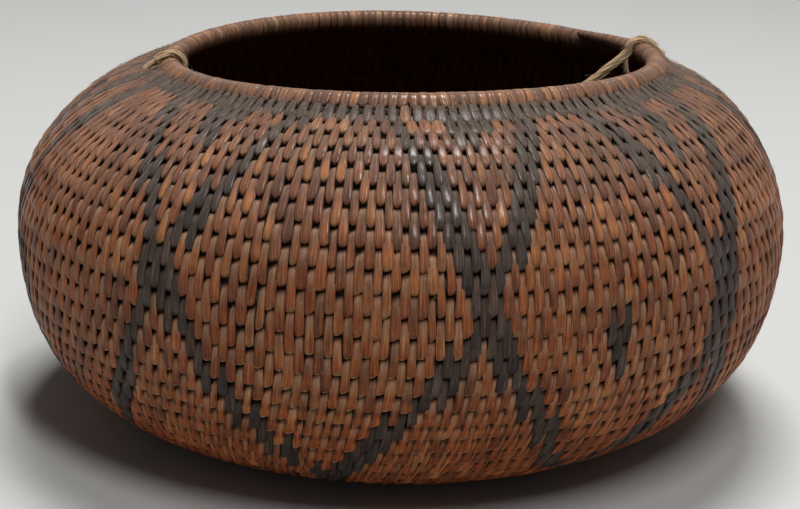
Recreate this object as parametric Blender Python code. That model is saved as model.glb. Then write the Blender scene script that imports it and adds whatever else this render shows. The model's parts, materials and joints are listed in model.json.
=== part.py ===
# A coiled splint basket: one long coil that winds from the middle of the base, out to the belly
# and in again to the mouth. Every turn of the coil is a piece of its own. Twine ties pass through
# the wall under the rim, and a slack cord hangs between them inside the mouth.
# Metres, +Z up. The origin is on the resting plane, under the middle of the basket's outline.
# Azimuths run anticlockwise seen from above: 0 is the front (-Y), 90 degrees is +X.

import math

import bmesh
import bpy
import numpy as np
from mathutils import Vector
from mathutils.geometry import interpolate_bezier

# Form of the basket. Radii and heights of the belly, shoulder and rim are those of the outside.
BELLY_RADIUS = 0.1233
BELLY_HEIGHT = 0.0640
BASE_RADIUS = 0.039
SHOULDER_RADIUS = 0.0892
SHOULDER_HEIGHT = 0.1127
RIM_RADIUS = 0.0801
RIM_TOP = 0.1189

# How far each round stretch of the profile keeps its direction.
HEEL_SWEEP = 0.064
LOWER_BELLY_SWEEP = 0.0373
UPPER_BELLY_SWEEP = 0.0217
SHOULDER_SWEEP = 0.016
NECK_SWEEP = 0.005
SHOULDER_SLOPE = math.radians(18.0)
NECK_SLOPE = math.radians(42.0)

# The mouth of a handmade basket is a little off centre, tilted and warped.
MOUTH_SHIFT_X = 0.0061
MOUTH_SHIFT_Y = -0.0035
MOUTH_TILT = 0.0011
MOUTH_TILT_AZIMUTH = math.radians(37.0)
MOUTH_WARP = 0.0010
MOUTH_WARP_AZIMUTH = math.radians(15.0)

# Its belly hangs a little lower on the right, and sits a little to the right.
BELLY_TILT = 0.0032
BELLY_SHIFT = 0.0005

# The basket isn't quite round, so the middle of its base is off the middle of its outline.
BASE_X = -0.0021
BASE_Y = 0.0011

# The coil. Its pitch follows from the length of the profile and the number of turns.
BASE_TURNS = 13
WALL_TURNS = 27
COIL_CLEARANCE = 0.0004
COIL_SIDES = 6
SEAM_AZIMUTH = math.radians(127.0)
TURN_SEGMENTS = 24
INNER_TURN_SEGMENTS = 12
INNER_TURNS = 3
END_STEP = 0.01
KNOT_START = 0.25
KNOT_END = 0.98
KNOT_SECTIONS = 12
RIM_TAPER_SEGMENTS = 2
RIM_TAPER_END = 0.4

# The twine ties and the cord between them.
TIE_RADIUS = 0.0016
TIE_CLEARANCE = 0.0007
TIE_HOLE_CLEARANCE = 0.0006
TIE_AZIMUTH = math.radians(100.0)
TIE_POINTS = 22
TIE_SQUARENESS = 4.0
CORD_RADIUS = 0.0020
CORD_CLEARANCE = 0.0004
CORD_SAG = 0.028
CORD_POINTS = 33

# Finish of each kind of piece: colour, roughness.
NATURAL_SPLINT = ((0.235, 0.105, 0.058), 0.6)
BLACK_SPLINT = ((0.028, 0.026, 0.027), 0.5)
RIM_SPLINT = ((0.300, 0.115, 0.055), 0.5)
TWINE = ((0.330, 0.245, 0.140), 0.9)

PROFILE_STEPS = 160
SETTLING_ROUNDS = 6


# Half of a coil's width along the wall, half of its thickness across the wall, and half of its
# thickness in the base, where the turns lie with a flat side down.
def coil_sizes(pitch):
    half_width = (pitch - COIL_CLEARANCE) / 2
    half_wall = half_width / math.cos(math.pi / COIL_SIDES)
    half_base = half_width * math.cos(math.pi / COIL_SIDES)
    return half_width, half_wall, half_base


# One round stretch of the profile, as points in the radius and height plane.
def profile_bezier(start, start_handle, end_handle, end):
    knots = [Vector((r, 0, z)) for r, z in (start, start_handle, end_handle, end)]
    return [(p.x, p.z) for p in interpolate_bezier(*knots, PROFILE_STEPS)]


# The centre line of the coil in section: flat base, heel, belly, shoulder and neck. It lies half
# the coil's thickness inside the outside of the basket, and half a pitch beyond the rim's middle.
def coil_profile(half_wall, half_base, half_pitch):
    belly = (BELLY_RADIUS - half_wall, BELLY_HEIGHT)
    slope = Vector((-math.cos(SHOULDER_SLOPE), math.sin(SHOULDER_SLOPE)))
    shoulder = Vector((SHOULDER_RADIUS, SHOULDER_HEIGHT)) + Vector((-slope.y, slope.x)) * half_wall
    neck = Vector((-math.cos(NECK_SLOPE), math.sin(NECK_SLOPE)))
    rim = Vector((RIM_RADIUS - half_wall, RIM_TOP - half_wall)) + neck * half_pitch
    points = [(0.0, half_base)]
    points += profile_bezier(
        (BASE_RADIUS, half_base),
        (BASE_RADIUS + HEEL_SWEEP, half_base),
        (belly[0], BELLY_HEIGHT - LOWER_BELLY_SWEEP),
        belly,
    )
    points += profile_bezier(
        belly,
        (belly[0], BELLY_HEIGHT + UPPER_BELLY_SWEEP),
        tuple(shoulder - slope * SHOULDER_SWEEP),
        tuple(shoulder),
    )[1:]
    points += profile_bezier(
        tuple(shoulder),
        tuple(shoulder + slope * NECK_SWEEP),
        tuple(rim - neck * NECK_SWEEP),
        tuple(rim),
    )[1:]
    return np.array(points)


# The profile as it stands at one azimuth, leaning with the mouth's shift, tilt and warp,
# and with the belly's tilt and shift.
def swayed_profile(points, azimuth):
    sway = (points[:, 1] / RIM_TOP) ** 2
    belly = np.sin(math.pi * (points[:, 1] - points[0, 1]) / (RIM_TOP - points[0, 1])) ** 2
    shift = MOUTH_SHIFT_X * math.sin(azimuth) - MOUTH_SHIFT_Y * math.cos(azimuth)
    tilt = MOUTH_TILT * math.cos(azimuth - MOUTH_TILT_AZIMUTH)
    warp = MOUTH_WARP * math.cos(2 * (azimuth - MOUTH_WARP_AZIMUTH))
    radius = points[:, 0] + sway * shift + belly * BELLY_SHIFT * math.sin(azimuth)
    height = points[:, 1] + sway * (tilt + warp) - belly * BELLY_TILT * math.sin(azimuth)
    return np.stack([radius, height], 1)


# Lengths along a profile, from the middle of the base.
def profile_lengths(points):
    steps = np.hypot(*np.diff(points, axis=0).T)
    return np.concatenate([[0.0], np.cumsum(steps)])


# The coil as a function of the number of turns wound, counted from the middle of the base.
# At every azimuth its turns share the profile's length there evenly.
class Coil:
    def __init__(self):
        self.turns = BASE_TURNS + WALL_TURNS + 1
        self.pitch = 0.0
        self.half_width = self.half_wall = self.half_base = 0.0
        around = [2 * math.pi * i / TURN_SEGMENTS for i in range(TURN_SEGMENTS)]
        # Thickness and centre line depend on each other, so they are settled in a few rounds.
        for _ in range(SETTLING_ROUNDS):
            self.points = coil_profile(self.half_wall, self.half_base, self.pitch / 2)
            shortest = min(profile_lengths(swayed_profile(self.points, a))[-1] for a in around)
            self.pitch = shortest / (self.turns + 1)
            self.half_width, self.half_wall, self.half_base = coil_sizes(self.pitch)

    # Azimuth at a number of turns.
    def azimuth(self, turn):
        return (SEAM_AZIMUTH + 2 * math.pi * turn) % (2 * math.pi)

    # How much of its full thickness the coil has: it tapers at the start knot and at the rim's end.
    def fullness(self, turn):
        if turn < 1.0:
            return turn
        to_end = self.turns + 1 - turn
        taper = RIM_TAPER_SEGMENTS / TURN_SEGMENTS
        if to_end < taper:
            return RIM_TAPER_END + (1 - RIM_TAPER_END) * to_end / taper
        return 1.0

    # Radius and height of the coil, moved by a distance along the wall.
    def section(self, turn, moved=0.0):
        points = swayed_profile(self.points, self.azimuth(turn))
        lengths = profile_lengths(points)
        length = turn / (self.turns + 1) * lengths[-1] + moved
        radius = np.interp(length, lengths, points[:, 0])
        height = np.interp(length, lengths, points[:, 1])
        return Vector((radius, height))

    # Direction of the wall there, in the radius and height plane.
    def direction(self, turn):
        reach = self.pitch / 10
        return (self.section(turn, reach) - self.section(turn, -reach)).normalized()

    # The centre of the coil in space. Where the rim tapers, its lower side stays seated.
    def centre(self, turn):
        drop = 0.0 if turn < 1.0 else (1 - self.fullness(turn)) * self.half_width
        radius, height = self.section(turn, -drop)
        azimuth = self.azimuth(turn)
        x = BASE_X + radius * math.sin(azimuth)
        y = BASE_Y - radius * math.cos(azimuth)
        return Vector((x, y, height))

    # The turn number of the topmost coil at an azimuth.
    def top_turn(self, azimuth):
        part = ((azimuth - SEAM_AZIMUTH) / (2 * math.pi)) % 1.0
        return self.turns + part


# A plain finish of one colour.
def make_finish(name, colour, roughness):
    finish = bpy.data.materials.new(name)
    finish.use_nodes = True
    shader = finish.node_tree.nodes["Principled BSDF"]
    shader.inputs["Base Color"].default_value = (*colour, 1.0)
    shader.inputs["Roughness"].default_value = roughness
    shader.inputs["Metallic"].default_value = 0.0
    finish.diffuse_color = (*colour, 1.0)
    return finish


# A round or many-sided rod along points, each with its thickness and turn about the line.
def make_rod(name, points, radius, resolution, fullness=None, tilts=None, closed=False):
    curve = bpy.data.curves.new(name, "CURVE")
    curve.dimensions = "3D"
    curve.twist_mode = "Z_UP"
    curve.bevel_depth = radius
    curve.bevel_resolution = resolution
    curve.use_fill_caps = not closed
    line = curve.splines.new("POLY")
    line.points.add(len(points) - 1)
    line.use_cyclic_u = closed
    for i, point in enumerate(points):
        line.points[i].co = (*point, 1.0)
        line.points[i].radius = fullness[i] if fullness else 1.0
        line.points[i].tilt = tilts[i] if tilts else 0.0
    return bpy.data.objects.new(name, curve)


# A rod turned into a mesh, for the pieces that are cut.
def rod_as_mesh(rod):
    bpy.context.scene.collection.objects.link(rod)
    graph = bpy.context.evaluated_depsgraph_get()
    mesh = bpy.data.meshes.new_from_object(rod.evaluated_get(graph))
    shape = bmesh.new()
    shape.from_mesh(mesh)
    bmesh.ops.remove_doubles(shape, verts=shape.verts, dist=0.00001)
    bmesh.ops.recalc_face_normals(shape, faces=shape.faces)
    shape.to_mesh(mesh)
    shape.free()
    solid = bpy.data.objects.new(rod.name, mesh)
    solid.matrix_world = rod.matrix_world
    name = rod.name
    bpy.data.objects.remove(rod)
    solid.name = name
    return solid


# Where along a turn its sections stand. Both ends have one extra section close to the cut,
# so that the end faces of two turns stand parallel.
def turn_stations(turn, radius, segments):
    back = COIL_CLEARANCE / 2 / (2 * math.pi * radius)
    inner = [turn + i / segments for i in range(1, segments)]
    return [turn + back, turn + END_STEP] + inner + [turn + 1 - END_STEP, turn + 1 - back]


# One turn of the coil, or the part of one, from its stations.
def make_turn(coil, name, stations, lies_flat):
    points = [coil.centre(t) for t in stations]
    fullness = [coil.fullness(t) for t in stations]
    flat = math.pi / COIL_SIDES if lies_flat else 0.0
    tilts = []
    for t in stations:
        along = coil.direction(t)
        tilts.append(math.atan2(along.x, along.y) + flat)
    radius = coil.half_width if lies_flat else coil.half_wall
    return make_rod(name, points, radius, 1, fullness, tilts)


# The path of a tie round the rim coil and the coil under it, through the wall below both.
def tie_path(coil, azimuth):
    rim_turn = coil.top_turn(azimuth)
    rim = coil.centre(rim_turn)
    under = coil.centre(rim_turn - 1)
    hole = (under + coil.centre(rim_turn - 2)) / 2
    up_wall = (rim - hole).normalized()
    across = Vector((math.cos(azimuth), math.sin(azimuth), 0))
    off_wall = up_wall.cross(across).normalized()
    room = coil.half_wall + TIE_CLEARANCE + TIE_RADIUS
    length = (rim - hole).length + room
    middle = hole + up_wall * length / 2
    points = []
    for i in range(TIE_POINTS):
        angle = 2 * math.pi * i / TIE_POINTS
        c, s = math.cos(angle), math.sin(angle)
        power = 2 / TIE_SQUARENESS
        q = math.copysign(abs(c) ** power, c) * length / 2
        n = math.copysign(abs(s) ** power, s) * room
        points.append(middle + up_wall * q + off_wall * n)
    return points, hole, off_wall


# A pin that opens the hole for a tie between two turns.
def make_hole_cutter(name, hole, axis, length):
    mesh = bpy.data.meshes.new(name)
    shape = bmesh.new()
    radius = TIE_RADIUS + TIE_HOLE_CLEARANCE
    bmesh.ops.create_cone(
        shape, cap_ends=True, segments=10, radius1=radius, radius2=radius, depth=length
    )
    bmesh.ops.rotate(
        shape, verts=shape.verts, matrix=Vector((0, 0, 1)).rotation_difference(axis).to_matrix()
    )
    bmesh.ops.translate(shape, verts=shape.verts, vec=hole)
    shape.to_mesh(mesh)
    shape.free()
    cutter = bpy.data.objects.new(name, mesh)
    cutter.hide_render = True
    cutter.display_type = "WIRE"
    return cutter


# The slack cord between the two ties: a hanging curve from tie to tie.
def cord_path(start, end):
    points = []
    for i in range(CORD_POINTS):
        part = i / (CORD_POINTS - 1)
        sag = 4 * CORD_SAG * part * (1 - part)
        points.append(start.lerp(end, part) - Vector((0, 0, sag)))
    return points


# Where the cord leaves a tie: beside the tie's own line, on the inner side of the rim.
def cord_exit(points, towards):
    inner = min(points, key=lambda p: (p - towards).length)
    inward = (towards - inner).normalized()
    return inner + inward * (TIE_RADIUS + CORD_CLEARANCE)


def build():
    for item in list(bpy.data.objects):
        bpy.data.objects.remove(item)
    scene = bpy.context.scene
    parts = bpy.data.collections.new("coiled_basket")
    cutters = bpy.data.collections.new("cutters")
    scene.collection.children.link(parts)
    scene.collection.children.link(cutters)

    coil = Coil()
    left_azimuth = TIE_AZIMUTH - math.pi
    ties = {"tie_right": tie_path(coil, TIE_AZIMUTH), "tie_left": tie_path(coil, left_azimuth)}
    hole_cutters = []
    for name, (points, hole, axis) in ties.items():
        cutter = make_hole_cutter(name + "_hole", hole, axis, 6 * coil.half_wall)
        cutters.objects.link(cutter)
        hole_cutters.append(cutter)

    pieces = []
    knot_step = (KNOT_END - END_STEP - KNOT_START) / KNOT_SECTIONS
    knot_stations = [KNOT_START + i * knot_step for i in range(KNOT_SECTIONS + 1)] + [KNOT_END]
    pieces.append((make_turn(coil, "start_knot", knot_stations, True), NATURAL_SPLINT))

    for turn in range(1, coil.turns + 1):
        radius = coil.section(turn)[0]
        lies_flat = turn <= BASE_TURNS
        segments = INNER_TURN_SEGMENTS if turn <= INNER_TURNS else TURN_SEGMENTS
        stations = turn_stations(turn, radius, segments)
        finish = NATURAL_SPLINT
        if turn == coil.turns:
            name = "rim_coil"
            finish = RIM_SPLINT
        elif lies_flat:
            name = f"base_coil_{turn:02d}"
        else:
            name = f"wall_coil_{turn - BASE_TURNS:02d}"
        if turn == coil.turns - 1:
            finish = BLACK_SPLINT
        rod = make_turn(coil, name, stations, lies_flat)
        if coil.turns - 3 <= turn < coil.turns:
            rod = rod_as_mesh(rod)
            for cutter in hole_cutters:
                cut = rod.modifiers.new(cutter.name, "BOOLEAN")
                cut.operation = "DIFFERENCE"
                cut.solver = "EXACT"
                cut.object = cutter
        pieces.append((rod, finish))

    for name, (points, hole, axis) in ties.items():
        pieces.append((make_rod(name, points, TIE_RADIUS, 2, closed=True), TWINE))

    right_points = ties["tie_right"][0]
    left_points = ties["tie_left"][0]
    mouth_middle = (coil.centre(coil.top_turn(TIE_AZIMUTH)) + coil.centre(coil.top_turn(left_azimuth))) / 2
    aim = mouth_middle - Vector((0, 0, 2 * CORD_SAG))
    cord_line = cord_path(cord_exit(right_points, aim), cord_exit(left_points, aim))
    pieces.append((make_rod("handle_cord", cord_line, CORD_RADIUS, 2), TWINE))

    for piece, (colour, roughness) in pieces:
        parts.objects.link(piece)
        finish = make_finish(piece.name + "_finish", colour, roughness)
        piece.data.materials.clear()
        piece.data.materials.append(finish)


build()
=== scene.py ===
import json
import math

import bmesh
import bpy
import numpy as np
from mathutils import Matrix, Vector

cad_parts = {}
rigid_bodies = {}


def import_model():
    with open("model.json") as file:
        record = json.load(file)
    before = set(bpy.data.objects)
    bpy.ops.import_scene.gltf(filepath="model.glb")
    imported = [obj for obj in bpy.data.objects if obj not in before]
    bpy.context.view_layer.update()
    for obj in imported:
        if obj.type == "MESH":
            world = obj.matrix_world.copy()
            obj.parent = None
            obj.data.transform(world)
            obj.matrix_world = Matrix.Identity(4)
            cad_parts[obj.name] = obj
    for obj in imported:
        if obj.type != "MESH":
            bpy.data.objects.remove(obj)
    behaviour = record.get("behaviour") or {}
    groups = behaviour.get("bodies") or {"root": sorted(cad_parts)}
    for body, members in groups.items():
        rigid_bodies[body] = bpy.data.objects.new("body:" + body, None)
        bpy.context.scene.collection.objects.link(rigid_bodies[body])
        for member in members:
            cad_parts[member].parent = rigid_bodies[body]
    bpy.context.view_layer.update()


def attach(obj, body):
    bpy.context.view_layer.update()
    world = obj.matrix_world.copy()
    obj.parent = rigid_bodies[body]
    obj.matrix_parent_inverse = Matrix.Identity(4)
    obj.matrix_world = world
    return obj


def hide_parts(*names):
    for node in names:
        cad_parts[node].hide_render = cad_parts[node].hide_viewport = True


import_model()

scene = bpy.context.scene
mm = 0.001
fullTurn = 2 * math.pi


# The coil, from the same sizes as the solids: a wall line for each azimuth, swayed towards the mouth.
coil = {
    "bellyRadius": 0.1233, "bellyHeight": 0.0640, "baseRadius": 0.039,
    "shoulderRadius": 0.0892, "shoulderHeight": 0.1127, "rimRadius": 0.0801, "rimTop": 0.1189,
    "heelSweep": 0.064, "lowerBellySweep": 0.0373, "upperBellySweep": 0.0217,
    "shoulderSweep": 0.016, "neckSweep": 0.005,
    "shoulderSlope": math.radians(18), "neckSlope": math.radians(42),
    "mouthShift": (0.0061, -0.0035),
    "mouthTilt": (0.0011, math.radians(37)), "mouthWarp": (0.0010, math.radians(15)),
    "bellyTilt": 0.0032, "bellyShift": 0.0005,
    "baseX": -0.0021, "baseY": 0.0011,
    "baseTurns": 13, "turns": 41, "seam": math.radians(127),
    "pitch": 0.00547938, "halfWidth": 0.00253969, "halfWall": 0.00293258, "halfBase": 0.00219944,
    "taperTurns": 2 / 24, "taperEnd": 0.4,
}
halfWall = coil["halfWall"]


def unit(vectors):
    return vectors / np.linalg.norm(vectors, axis=-1, keepdims=True)


def sweptCurve(a, b, c, d, steps=160):
    t = np.linspace(0, 1, steps)[:, None]
    a, b, c, d = (np.array(p, float) for p in (a, b, c, d))
    return (1 - t) ** 3 * a + 3 * (1 - t) ** 2 * t * b + 3 * (1 - t) * t ** 2 * c + t ** 3 * d


def wallLine():
    c = coil
    belly = (c["bellyRadius"] - halfWall, c["bellyHeight"])
    slope = np.array((-math.cos(c["shoulderSlope"]), math.sin(c["shoulderSlope"])))
    inward = np.array((-slope[1], slope[0]))
    shoulder = np.array((c["shoulderRadius"], c["shoulderHeight"])) + inward * halfWall
    neck = np.array((-math.cos(c["neckSlope"]), math.sin(c["neckSlope"])))
    rim = np.array((c["rimRadius"] - halfWall, c["rimTop"] - halfWall)) + neck * c["pitch"] / 2
    floor = c["halfBase"]
    lower = sweptCurve((c["baseRadius"], floor), (c["baseRadius"] + c["heelSweep"], floor),
                       (belly[0], belly[1] - c["lowerBellySweep"]), belly)
    upper = sweptCurve(belly, (belly[0], belly[1] + c["upperBellySweep"]),
                       shoulder - slope * c["shoulderSweep"], shoulder)
    top = sweptCurve(shoulder, shoulder + slope * c["neckSweep"], rim - neck * c["neckSweep"], rim)
    return np.vstack(([(0, floor)], lower, upper[1:], top[1:]))


def swayedLine(line, azimuth):
    c = coil
    r, z = line[:, 0].copy(), line[:, 1].copy()
    sway = (z / c["rimTop"]) ** 2
    belly = np.sin(math.pi * (z - z[0]) / (c["rimTop"] - z[0])) ** 2
    shift = c["mouthShift"][0] * math.sin(azimuth) - c["mouthShift"][1] * math.cos(azimuth)
    tilt = c["mouthTilt"][0] * math.cos(azimuth - c["mouthTilt"][1])
    warp = c["mouthWarp"][0] * math.cos(2 * (azimuth - c["mouthWarp"][1]))
    r += sway * shift + belly * c["bellyShift"] * math.sin(azimuth)
    z += sway * (tilt + warp) - belly * c["bellyTilt"] * math.sin(azimuth)
    return r, z


turnSteps, azimuthSteps = 12, 144  # how finely the coil's surface is tabled, up each turn and round


def coilTable():
    # radius, height and the wall's direction for each azimuth and turn
    line = wallLine()
    turns = np.arange((coil["turns"] + 1) * turnSteps + 1) / turnSteps
    table = np.empty((azimuthSteps + 1, len(turns), 4))
    for i in range(azimuthSteps + 1):
        r, z = swayedLine(line, fullTurn * i / azimuthSteps)
        run = np.concatenate(([0], np.cumsum(np.hypot(np.diff(r), np.diff(z)))))
        along = turns / (coil["turns"] + 1) * run[-1]
        table[i, :, 0] = np.interp(along, run, r)
        table[i, :, 1] = np.interp(along, run, z)
        dr, dz = np.gradient(table[i, :, 0]), np.gradient(table[i, :, 1])
        size = np.hypot(dr, dz)
        table[i, :, 2], table[i, :, 3] = dr / size, dz / size
    return table


coilSections = coilTable()


def onCoil(turn, azimuth, out, up=0.0):
    # points at a distance out from the coil's middle surface, and up along the wall
    turn, azimuth, out, up = np.broadcast_arrays(*(np.asarray(v, float) for v in (turn, azimuth, out, up)))
    t = np.clip(turn, 0, coil["turns"] + 1 - 1e-6) * turnSteps
    a = (azimuth % fullTurn) / fullTurn * azimuthSteps
    t0, a0 = np.floor(t).astype(int), np.minimum(np.floor(a).astype(int), azimuthSteps - 1)
    ft, fa = (t - t0)[..., None], (a - a0)[..., None]
    s = ((coilSections[a0, t0] * (1 - ft) + coilSections[a0, t0 + 1] * ft) * (1 - fa)
         + (coilSections[a0 + 1, t0] * (1 - ft) + coilSections[a0 + 1, t0 + 1] * ft) * fa)
    up = up + (turn - t / turnSteps) * coil["pitch"]
    r = s[..., 0] + s[..., 3] * out + s[..., 2] * up
    z = s[..., 1] - s[..., 2] * out + s[..., 3] * up
    return np.stack((coil["baseX"] + r * np.sin(azimuth), coil["baseY"] - r * np.cos(azimuth), z), -1)


def turnAzimuth(turn):
    return (coil["seam"] + fullTurn * turn) % fullTurn


def topTurn(azimuth):
    return coil["turns"] + ((azimuth - coil["seam"]) / fullTurn) % 1


# Handmade rows drift: how far each lies above its even place, in turns, and how much more on the right
drift = {
    "turns": (0, 13, 17, 20, 22, 25, 28, 31, 34, 36, 38, 39.15, 40.15, 41.15, 42),
    "middle": (0, 0, 0.45, 0.62, 0.62, 0.20, 0.17, 0.38, 0.41, 0.50, 0.46, 0.48, 0.40, 0.20, 0),
    "lean": (0, 0, 0.15, 0.25, 0.30, 0.20, 0.05, 0, -0.03, -0.05, -0.05, 0, 0, 0, 0),
}


def settled(turn, azimuth):
    lean = np.interp(turn, drift["turns"], drift["lean"]) * np.sin(azimuth)
    return turn + np.interp(turn, drift["turns"], drift["middle"]) + lean


print("coil line ready")


# Camera, and a plain view transform
view = {
    "distance": 0.600, "elevation": 0.3006, "roll": 0.0225, "aim": (0.00012, 0.0011, 0.04923),
    "lens": 81.24, "sensor": 36.0,
}


def setCamera():
    e, d = view["elevation"], view["distance"]
    camera = bpy.data.objects.new("viewCamera", bpy.data.cameras.new("viewCamera"))
    scene.collection.objects.link(camera)
    camera.data.lens, camera.data.sensor_width = view["lens"], view["sensor"]
    camera.data.clip_start = 0.02
    place = Vector(view["aim"]) - d * Vector((0, math.cos(e), -math.sin(e)))
    turned = Matrix.Rotation(math.pi / 2 - e, 4, "X") @ Matrix.Rotation(view["roll"], 4, "Z")
    camera.matrix_world = Matrix.Translation(place) @ turned
    scene.camera = camera


setCamera()
scene.view_settings.view_transform = "Standard"


# Shader maths as plain expressions
class Flow:
    def __init__(self, tree, socket):
        self.tree, self.socket = tree, socket

    def maths(self, operation, *others, first=None):
        node = self.tree.nodes.new("ShaderNodeMath")
        node.operation = operation
        values = [self if first is None else first] + list(others)
        for slot, value in zip(node.inputs, values):
            if isinstance(value, Flow):
                self.tree.links.new(value.socket, slot)
            else:
                slot.default_value = value
        return Flow(self.tree, node.outputs[0])

    def __add__(self, other): return self.maths("ADD", other)
    def __sub__(self, other): return self.maths("SUBTRACT", other)
    def __rsub__(self, other): return self.maths("SUBTRACT", self, first=other)
    def __mul__(self, other): return self.maths("MULTIPLY", other)
    def __truediv__(self, other): return self.maths("DIVIDE", other)
    __radd__, __rmul__ = __add__, __mul__

    def held(self):
        node = self.tree.nodes.new("ShaderNodeClamp")
        self.tree.links.new(self.socket, node.inputs[0])
        return Flow(self.tree, node.outputs[0])


class Finish:
    def __init__(self, name):
        self.material = bpy.data.materials.new(name)
        self.material.use_nodes = True
        self.tree = self.material.node_tree
        self.surface = next(n for n in self.tree.nodes if n.type == "BSDF_PRINCIPLED")

    def feed(self, slot, value):
        if isinstance(value, Flow):
            self.tree.links.new(value.socket, slot)
        else:
            slot.default_value = (*value, 1) if slot.type == "RGBA" else value

    def node(self, kind, settings=None, values=None, out=0):
        made = self.tree.nodes.new(kind)
        for key, value in (settings or {}).items():
            if key == "stops":
                while len(made.color_ramp.elements) < len(value):
                    made.color_ramp.elements.new(0.5)
                for stop, (place, colour) in zip(made.color_ramp.elements, value):
                    stop.position, stop.color = place, (*colour, 1)
            else:
                setattr(made, key, value)
        for key, value in (values or {}).items():
            self.feed(made.inputs[key], value)
        return Flow(self.tree, made.outputs[out])

    def axis(self, vector, letter):
        return self.node("ShaderNodeSeparateXYZ", None, {"Vector": vector}, out=letter)

    def attribute(self, name):
        return self.node("ShaderNodeAttribute", {"attribute_name": name}, out="Fac")

    def place(self):
        return self.node("ShaderNodeTexCoord", out="Object")

    def stretched(self, vector, scale, shift=(0, 0, 0)):
        return self.node("ShaderNodeMapping", None, {"Vector": vector, "Scale": scale, "Location": shift})

    def noise(self, vector, scale, detail=2.0, rough=0.5):
        return self.node("ShaderNodeTexNoise", None,
                         {"Vector": vector, "Scale": scale, "Detail": detail, "Roughness": rough}, out="Fac")

    def ramp(self, share, stops):
        return self.node("ShaderNodeValToRGB", {"stops": stops}, {"Fac": share}, out="Color")

    def mixed(self, first, second, share, way="MIX"):
        # a colour mix has its share and colours in sockets 0, 6 and 7, and its result in 2
        made = self.tree.nodes.new("ShaderNodeMix")
        made.data_type, made.blend_type = "RGBA", way
        for index, value in ((0, share), (6, first), (7, second)):
            self.feed(made.inputs[index], value)
        return Flow(self.tree, made.outputs[2])

    def set(self, **values):
        for key, value in values.items():
            self.feed(self.surface.inputs[surfaceInputs[key]], value)

    def bumps(self, height, strength, distance):
        values = {"Height": height, "Strength": strength, "Distance": distance}
        self.set(normal=self.node("ShaderNodeBump", None, values, out="Normal"))


surfaceInputs = {
    "colour": "Base Color", "rough": "Roughness", "normal": "Normal", "specular": "Specular IOR Level",
    "coat": "Coat Weight", "coatRough": "Coat Roughness",
    "sheen": "Sheen Weight", "sheenRough": "Sheen Roughness",
}


def remap(flow, low, high):
    return ((flow - low) / (high - low)).held()


def fromLeast(flow, least):
    # a flow of 0 to 1 as least to 1
    return flow * (1 - least) + least


# Splint finishes. In the UV "splint", x counts the splints and runs across each, and y runs from foot to head.
# A foot and a tone that multiplies are factors; the foot's is painted shade where the foot curves in under.
plainSplint = {"glintShare": 0.0, "lip": 0.0, "olive": 0.0, "matTop": 0.8, "hues": 0.8}
splintLooks = {
    "natural": {
        "colours": [(0.0, (0.092, 0.031, 0.014)), (0.28, (0.185, 0.056, 0.021)), (0.5, (0.285, 0.086, 0.027)),
                    (0.72, (0.370, 0.132, 0.042)), (1.0, (0.500, 0.250, 0.105))],
        "foot": (0.90, 0.72, 0.60), "head": (0.400, 0.258, 0.172), "headShare": 0.74, "roughness": 0.52,
        "dust": (0.178, 0.127, 0.100), "dustShare": 1.0, "gloss": 1.0, "glintShare": 0.85, "lip": 1.0,
        "olive": 0.72, "hues": 0.6,
    },
    "black": {
        "colours": [(0.0, (0.014, 0.010, 0.008)), (0.5, (0.057, 0.039, 0.030)), (1.0, (0.175, 0.118, 0.088))],
        "foot": (0.86, 0.76, 0.70), "head": (0.092, 0.068, 0.052), "headShare": 0.7, "roughness": 0.48,
        "dust": (0.150, 0.115, 0.093), "dustShare": 0.90, "gloss": 1.0,
    },
    "rim": {
        "colours": [(0.0, (0.110, 0.048, 0.026)), (0.35, (0.190, 0.080, 0.040)), (0.65, (0.260, 0.115, 0.055)),
                    (1.0, (0.370, 0.215, 0.120))],
        "foot": (0.85, 0.74, 0.70), "head": (0.190, 0.078, 0.036), "headShare": 0.25, "roughness": 0.50,
        "dust": (0.215, 0.142, 0.103), "dustShare": 0.72, "gloss": 0.55, "glintShare": 0.5,
        "matTop": 0.0, "hues": 0.3,
    },
    # the inside: a darker copy of the natural splints, painted shade for the basket's dark inside
    "inside": {
        "colours": [(0.0, (0.052, 0.020, 0.012)), (0.5, (0.125, 0.044, 0.022)), (1.0, (0.220, 0.088, 0.042))],
        "foot": (0.8, 0.7, 0.7), "head": (0.100, 0.050, 0.030), "headShare": 0.4, "roughness": 0.62,
        "dust": (0.060, 0.045, 0.036), "dustShare": 0.3, "gloss": 0.1,
    },
}
# scale, shift, detail, roughness, where it sets in and is full, and its weight in the colour
grain = {
    "streaks": ((6.0, 0.55, 1), 0, 3.0, 0.7, (0.34, 0.66), 0.40),
    "blotch": ((0.9, 2.2, 1), 9.7, 3.0, 0.6, (0.34, 0.66), 0.36),
    "fine": ((22.0, 1.6, 1), 3.1, 2.0, 0.6, (0.36, 0.64), 0.26),
}
tones = {
    "rosy": (1.0, 0.74, 0.70), "cool": (0.76, 0.82, 0.98), "olive": (0.250, 0.160, 0.072),
    "grimeAndShade": (0.45, 0.38, 0.35), "recessShade": (0.22, 0.18, 0.16), "warmLow": (1.24, 1.04, 0.82),
    "contactShadow": (0.34, 0.28, 0.25), "lipHighlightAndDust": (0.56, 0.37, 0.23), "darkFibre": (0.48, 0.44, 0.42),
    "paleFibre": (1.45, 1.40, 1.34), "glintOrange": (0.62, 0.235, 0.070),
}
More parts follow.
